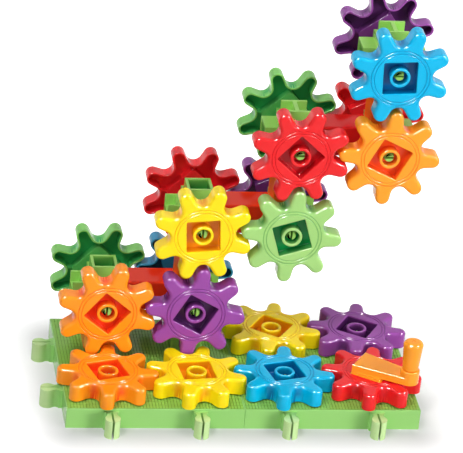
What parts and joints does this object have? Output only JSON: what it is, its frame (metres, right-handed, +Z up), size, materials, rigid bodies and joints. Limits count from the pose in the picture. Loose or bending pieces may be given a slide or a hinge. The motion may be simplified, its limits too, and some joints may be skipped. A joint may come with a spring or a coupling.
{
  "type": "hand-cranked gear building toy",
  "caption": "Toy of snap-together plastic base plates, pillars and axles with meshed gears lying flat and climbing a staircase tower, turned by a hand crank on one flat gear.",
  "frame": {"origin": "underside of the base, in the middle of the seam between the two plates", "axes": "+X to the right along the front edge, +Y from the front to the back, +Z up; the tower climbs towards +X"},
  "size_m": [0.2466, 0.1338, 0.2566],
  "materials": {
    "plate_green": "glossy injection moulding",
    "axle_green": "glossy injection moulding",
    "gear_orange": "glossy injection moulding",
    "gear_amber": "glossy injection moulding",
    "gear_yellow": "glossy injection moulding",
    "gear_blue": "glossy injection moulding",
    "gear_red": "glossy injection moulding",
    "gear_purple": "glossy injection moulding",
    "gear_light_green": "glossy injection moulding",
    "gear_dark_green": "glossy injection moulding",
    "pillar_orange": "glossy injection moulding",
    "pillar_red_orange": "glossy injection moulding",
    "pillar_red": "glossy injection moulding"
  },
  "bodies": {
    "base": {"base_plate_left": "plate_green", "base_plate_right": "plate_green", "axle_1": "axle_green", "axle_2": "axle_green", "axle_3": "axle_green", "axle_4": "axle_green", "axle_5": "axle_green", "axle_6": "axle_green", "axle_7": "axle_green", "lying_pillar_1": "pillar_red_orange", "lying_pillar_2": "pillar_red_orange", "lying_pillar_3": "pillar_red", "standing_pillar_1": "pillar_orange", "standing_pillar_2": "pillar_orange", "standing_pillar_3": "pillar_orange", "riser_1": "pillar_orange", "riser_2": "axle_green"},
    "driven_gear": {"flat_gear_red": "gear_red", "crank_arm": "gear_amber"},
    "handle": {"crank_handle": "gear_amber"},
    "flat_gear_orange": {"flat_gear_orange": "gear_orange"},
    "flat_gear_yellow": {"flat_gear_yellow": "gear_yellow"},
    "flat_gear_blue": {"flat_gear_blue": "gear_blue"},
    "flat_gear_yellow_back": {"flat_gear_yellow_back": "gear_yellow"},
    "flat_gear_purple_back": {"flat_gear_purple_back": "gear_purple"},
    "front_gear_1_orange": {"front_gear_1_orange": "gear_orange"},
    "front_gear_2_purple": {"front_gear_2_purple": "gear_purple"},
    "front_gear_3_yellow": {"front_gear_3_yellow": "gear_yellow"},
    "front_gear_4_green": {"front_gear_4_green": "gear_light_green"},
    "front_gear_5_red": {"front_gear_5_red": "gear_red"},
    "front_gear_6_amber": {"front_gear_6_amber": "gear_amber"},
    "front_gear_7_blue": {"front_gear_7_blue": "gear_blue"},
    "back_gear_1_green": {"back_gear_1_green": "gear_dark_green"},
    "back_gear_2_blue": {"back_gear_2_blue": "gear_blue"},
    "back_gear_3_red": {"back_gear_3_red": "gear_red"},
    "back_gear_4_purple": {"back_gear_4_purple": "gear_purple"},
    "back_gear_5_green": {"back_gear_5_green": "gear_dark_green"},
    "back_gear_6_red": {"back_gear_6_red": "gear_red"},
    "back_gear_7_purple": {"back_gear_7_purple": "gear_purple"}
  },
  "joints": [
    {"name": "crank_turn", "type": "hinge", "parent": "base", "child": "driven_gear", "pos_m": [0.08572, -0.02857, 0.0209], "axis": [0, 0, 1], "continuous": true},
    {"name": "handle_spin", "type": "hinge", "parent": "driven_gear", "child": "handle", "pos_m": [0.10713, -0.04334, 0.0374], "axis": [0, 0, 1], "continuous": true},
    {"name": "flat_gear_orange_turn", "type": "hinge", "parent": "base", "child": "flat_gear_orange", "pos_m": [-0.08572, -0.02857, 0.0209], "axis": [0, 0, 1], "continuous": true},
    {"name": "flat_gear_yellow_turn", "type": "hinge", "parent": "base", "child": "flat_gear_yellow", "pos_m": [-0.02857, -0.02857, 0.0209], "axis": [0, 0, 1], "continuous": true},
    {"name": "flat_gear_blue_turn", "type": "hinge", "parent": "base", "child": "flat_gear_blue", "pos_m": [0.02857, -0.02857, 0.0209], "axis": [0, 0, 1], "continuous": true},
    {"name": "flat_gear_yellow_back_turn", "type": "hinge", "parent": "base", "child": "flat_gear_yellow_back", "pos_m": [0.02857, 0.02857, 0.0209], "axis": [0, 0, 1], "continuous": true},
    {"name": "flat_gear_purple_back_turn", "type": "hinge", "parent": "base", "child": "flat_gear_purple_back", "pos_m": [0.08572, 0.02857, 0.0209], "axis": [0, 0, 1], "continuous": true},
    {"name": "front_gear_1_orange_turn", "type": "hinge", "parent": "base", "child": "front_gear_1_orange", "pos_m": [-0.08572, 0, 0.05348], "axis": [0, 1, 0], "continuous": true},
    {"name": "front_gear_2_purple_turn", "type": "hinge", "parent": "base", "child": "front_gear_2_purple", "pos_m": [-0.02857, 0, 0.05348], "axis": [0, 1, 0], "continuous": true},
    {"name": "front_gear_3_yellow_turn", "type": "hinge", "parent": "base", "child": "front_gear_3_yellow", "pos_m": [-0.02857, 0, 0.11063], "axis": [0, 1, 0], "continuous": true},
    {"name": "front_gear_4_green_turn", "type": "hinge", "parent": "base", "child": "front_gear_4_green", "pos_m": [0.02857, 0, 0.11063], "axis": [0, 1, 0], "continuous": true},
    {"name": "front_gear_5_red_turn", "type": "hinge", "parent": "base", "child": "front_gear_5_red", "pos_m": [0.02857, 0, 0.16778], "axis": [0, 1, 0], "continuous": true},
    {"name": "front_gear_6_amber_turn", "type": "hinge", "parent": "base", "child": "front_gear_6_amber", "pos_m": [0.08572, 0, 0.16778], "axis": [0, 1, 0], "continuous": true},
    {"name": "front_gear_7_blue_turn", "type": "hinge", "parent": "base", "child": "front_gear_7_blue", "pos_m": [0.08572, 0, 0.22493], "axis": [0, 1, 0], "continuous": true},
    {"name": "back_gear_1_green_turn", "type": "hinge", "parent": "base", "child": "back_gear_1_green", "pos_m": [-0.08572, 0.05715, 0.05348], "axis": [0, 1, 0], "continuous": true},
    {"name": "back_gear_2_blue_turn", "type": "hinge", "parent": "base", "child": "back_gear_2_blue", "pos_m": [-0.02857, 0.05715, 0.05348], "axis": [0, 1, 0], "continuous": true},
    {"name": "back_gear_3_red_turn", "type": "hinge", "parent": "base", "child": "back_gear_3_red", "pos_m": [-0.02857, 0.05715, 0.11063], "axis": [0, 1, 0], "continuous": true},
    {"name": "back_gear_4_purple_turn", "type": "hinge", "parent": "base", "child": "back_gear_4_purple", "pos_m": [0.02857, 0.05715, 0.11063], "axis": [0, 1, 0], "continuous": true},
    {"name": "back_gear_5_green_turn", "type": "hinge", "parent": "base", "child": "back_gear_5_green", "pos_m": [0.02857, 0.05715, 0.16778], "axis": [0, 1, 0], "continuous": true},
    {"name": "back_gear_6_red_turn", "type": "hinge", "parent": "base", "child": "back_gear_6_red", "pos_m": [0.08572, 0.05715, 0.16778], "axis": [0, 1, 0], "continuous": true},
    {"name": "back_gear_7_purple_turn", "type": "hinge", "parent": "base", "child": "back_gear_7_purple", "pos_m": [0.08572, 0.05715, 0.22493], "axis": [0, 1, 0], "continuous": true}
  ],
  "couplings": [
    {"joint": "flat_gear_orange_turn", "follows": "crank_turn", "ratio": -1},
    {"joint": "flat_gear_yellow_turn", "follows": "crank_turn", "ratio": 1},
    {"joint": "flat_gear_blue_turn", "follows": "crank_turn", "ratio": -1},
    {"joint": "flat_gear_yellow_back_turn", "follows": "crank_turn", "ratio": 1},
    {"joint": "flat_gear_purple_back_turn", "follows": "crank_turn", "ratio": -1},
    {"joint": "front_gear_1_orange_turn", "follows": "crank_turn", "ratio": -1},
    {"joint": "front_gear_2_purple_turn", "follows": "crank_turn", "ratio": 1},
    {"joint": "front_gear_3_yellow_turn", "follows": "crank_turn", "ratio": -1},
    {"joint": "front_gear_4_green_turn", "follows": "crank_turn", "ratio": 1},
    {"joint": "front_gear_5_red_turn", "follows": "crank_turn", "ratio": -1},
    {"joint": "front_gear_6_amber_turn", "follows": "crank_turn", "ratio": 1},
    {"joint": "front_gear_7_blue_turn", "follows": "crank_turn", "ratio": -1},
    {"joint": "back_gear_2_blue_turn", "follows": "back_gear_1_green_turn", "ratio": -1},
    {"joint": "back_gear_3_red_turn", "follows": "back_gear_1_green_turn", "ratio": 1},
    {"joint": "back_gear_4_purple_turn", "follows": "back_gear_1_green_turn", "ratio": -1},
    {"joint": "back_gear_5_green_turn", "follows": "back_gear_1_green_turn", "ratio": 1},
    {"joint": "back_gear_6_red_turn", "follows": "back_gear_1_green_turn", "ratio": -1},
    {"joint": "back_gear_7_purple_turn", "follows": "back_gear_1_green_turn", "ratio": 1}
  ]
}
